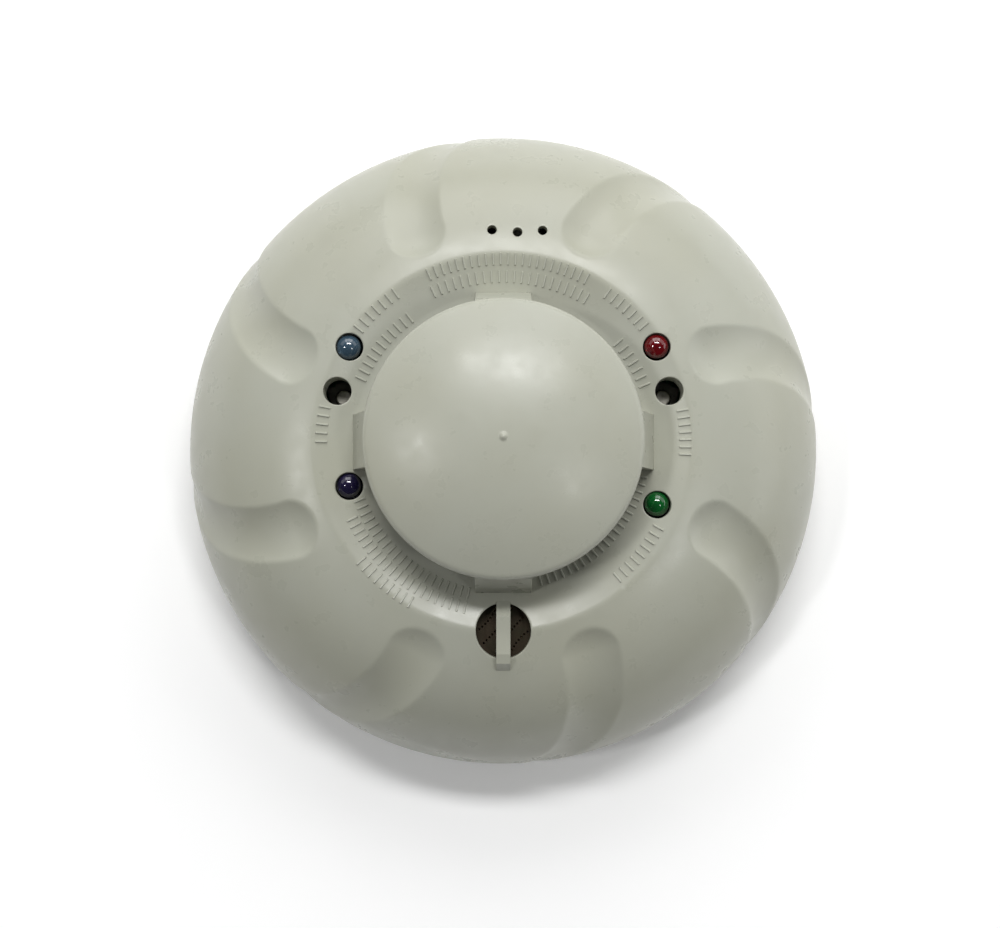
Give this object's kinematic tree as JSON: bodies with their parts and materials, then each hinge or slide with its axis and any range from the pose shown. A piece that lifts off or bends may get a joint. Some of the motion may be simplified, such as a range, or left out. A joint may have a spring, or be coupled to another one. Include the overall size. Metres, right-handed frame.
{
  "type": "carbon monoxide detector",
  "caption": "Round ceiling detector head for carbon monoxide and smoke, with a scooped dome, capped smoke inlet, indicator lamps, test holes and a twist-lock base.",
  "frame": {"origin": "centre of the mounting base's rear face, where it lies on the ceiling plate", "axes": "+Z out of the ceiling into the room, +Y towards the side with the small gas holes, sounder opening at -Y"},
  "size_m": [0.14, 0.14, 0.0574],
  "materials": {
    "cover_plastic": "satin moulded off-white plastic",
    "base_plastic": "satin moulded off-white plastic",
    "black_plastic": "matt black moulded plastic",
    "spring_metal": "phosphor bronze strip",
    "plated_steel": "zinc plated",
    "board": "green solder mask",
    "screen_mesh": "blackened metal",
    "brown_screen": "dark brown perforated disc",
    "foam": "closed cell foam",
    "lamp_blue": "tinted clear epoxy",
    "lamp_red": "tinted clear epoxy",
    "lamp_violet": "tinted clear epoxy",
    "lamp_green": "tinted clear epoxy",
    "optic_clear": "tinted clear epoxy",
    "sensor_can": "drawn steel can",
    "membrane": "white filter membrane",
    "brass_disc": "bright brass",
    "ceramic": "silvered ceramic",
    "relay_case": "black case",
    "capacitor_sleeve": "dark sleeve",
    "varistor_coat": "blue epoxy coat",
    "coil_core": "ferrite with wound copper"
  },
  "bodies": {
    "base": {"mounting_base": "base_plastic", "base_contacts": "spring_metal", "wire_clamps": "plated_steel", "terminal_screws": "plated_steel"},
    "head": {"rear_housing": "base_plastic", "housing_screws": "plated_steel", "contact_blades": "spring_metal", "main_circuit_board": "board", "board_screws": "plated_steel", "alarm_relays": "relay_case", "controller_chip": "black_plastic", "filter_capacitors": "capacitor_sleeve", "surge_varistor": "varistor_coat", "sounder_coil": "coil_core", "front_cover": "cover_plastic", "smoke_cap": "cover_plastic", "insect_screen": "screen_mesh", "chamber_base": "black_plastic", "chamber_cover": "black_plastic", "ir_emitter": "optic_clear", "photo_receiver": "optic_clear", "co_sensor_cell": "sensor_can", "co_sensor_filter": "membrane", "co_sensor_gasket": "foam", "sounder_housing": "black_plastic", "sounder_disc": "brass_disc", "sounder_element": "ceramic", "sounder_screen": "brown_screen", "sounder_gasket": "foam", "co_alarm_lamp": "lamp_blue", "smoke_alarm_lamp": "lamp_red", "trouble_lamp": "lamp_violet", "power_lamp": "lamp_green", "lamp_spacers": "black_plastic", "left_switch_body": "black_plastic", "right_switch_body": "black_plastic", "left_switch_frame": "plated_steel", "right_switch_frame": "plated_steel"},
    "left_button": {"left_test_button": "black_plastic"},
    "right_button": {"right_test_button": "black_plastic"}
  },
  "joints": [
    {"name": "head_twist", "type": "hinge", "parent": "base", "child": "head", "pos_m": [0, 0, 0.01], "axis": [0, 0, 1], "range_deg": [0, 22]},
    {"name": "left_test_press", "type": "slide", "parent": "head", "child": "left_button", "axis": [0, 0, -1], "range_m": [0, 0.0005], "stiffness_N_per_m": 3000},
    {"name": "right_test_press", "type": "slide", "parent": "head", "child": "right_button", "axis": [0, 0, -1], "range_m": [0, 0.0005], "stiffness_N_per_m": 3000}
  ]
}
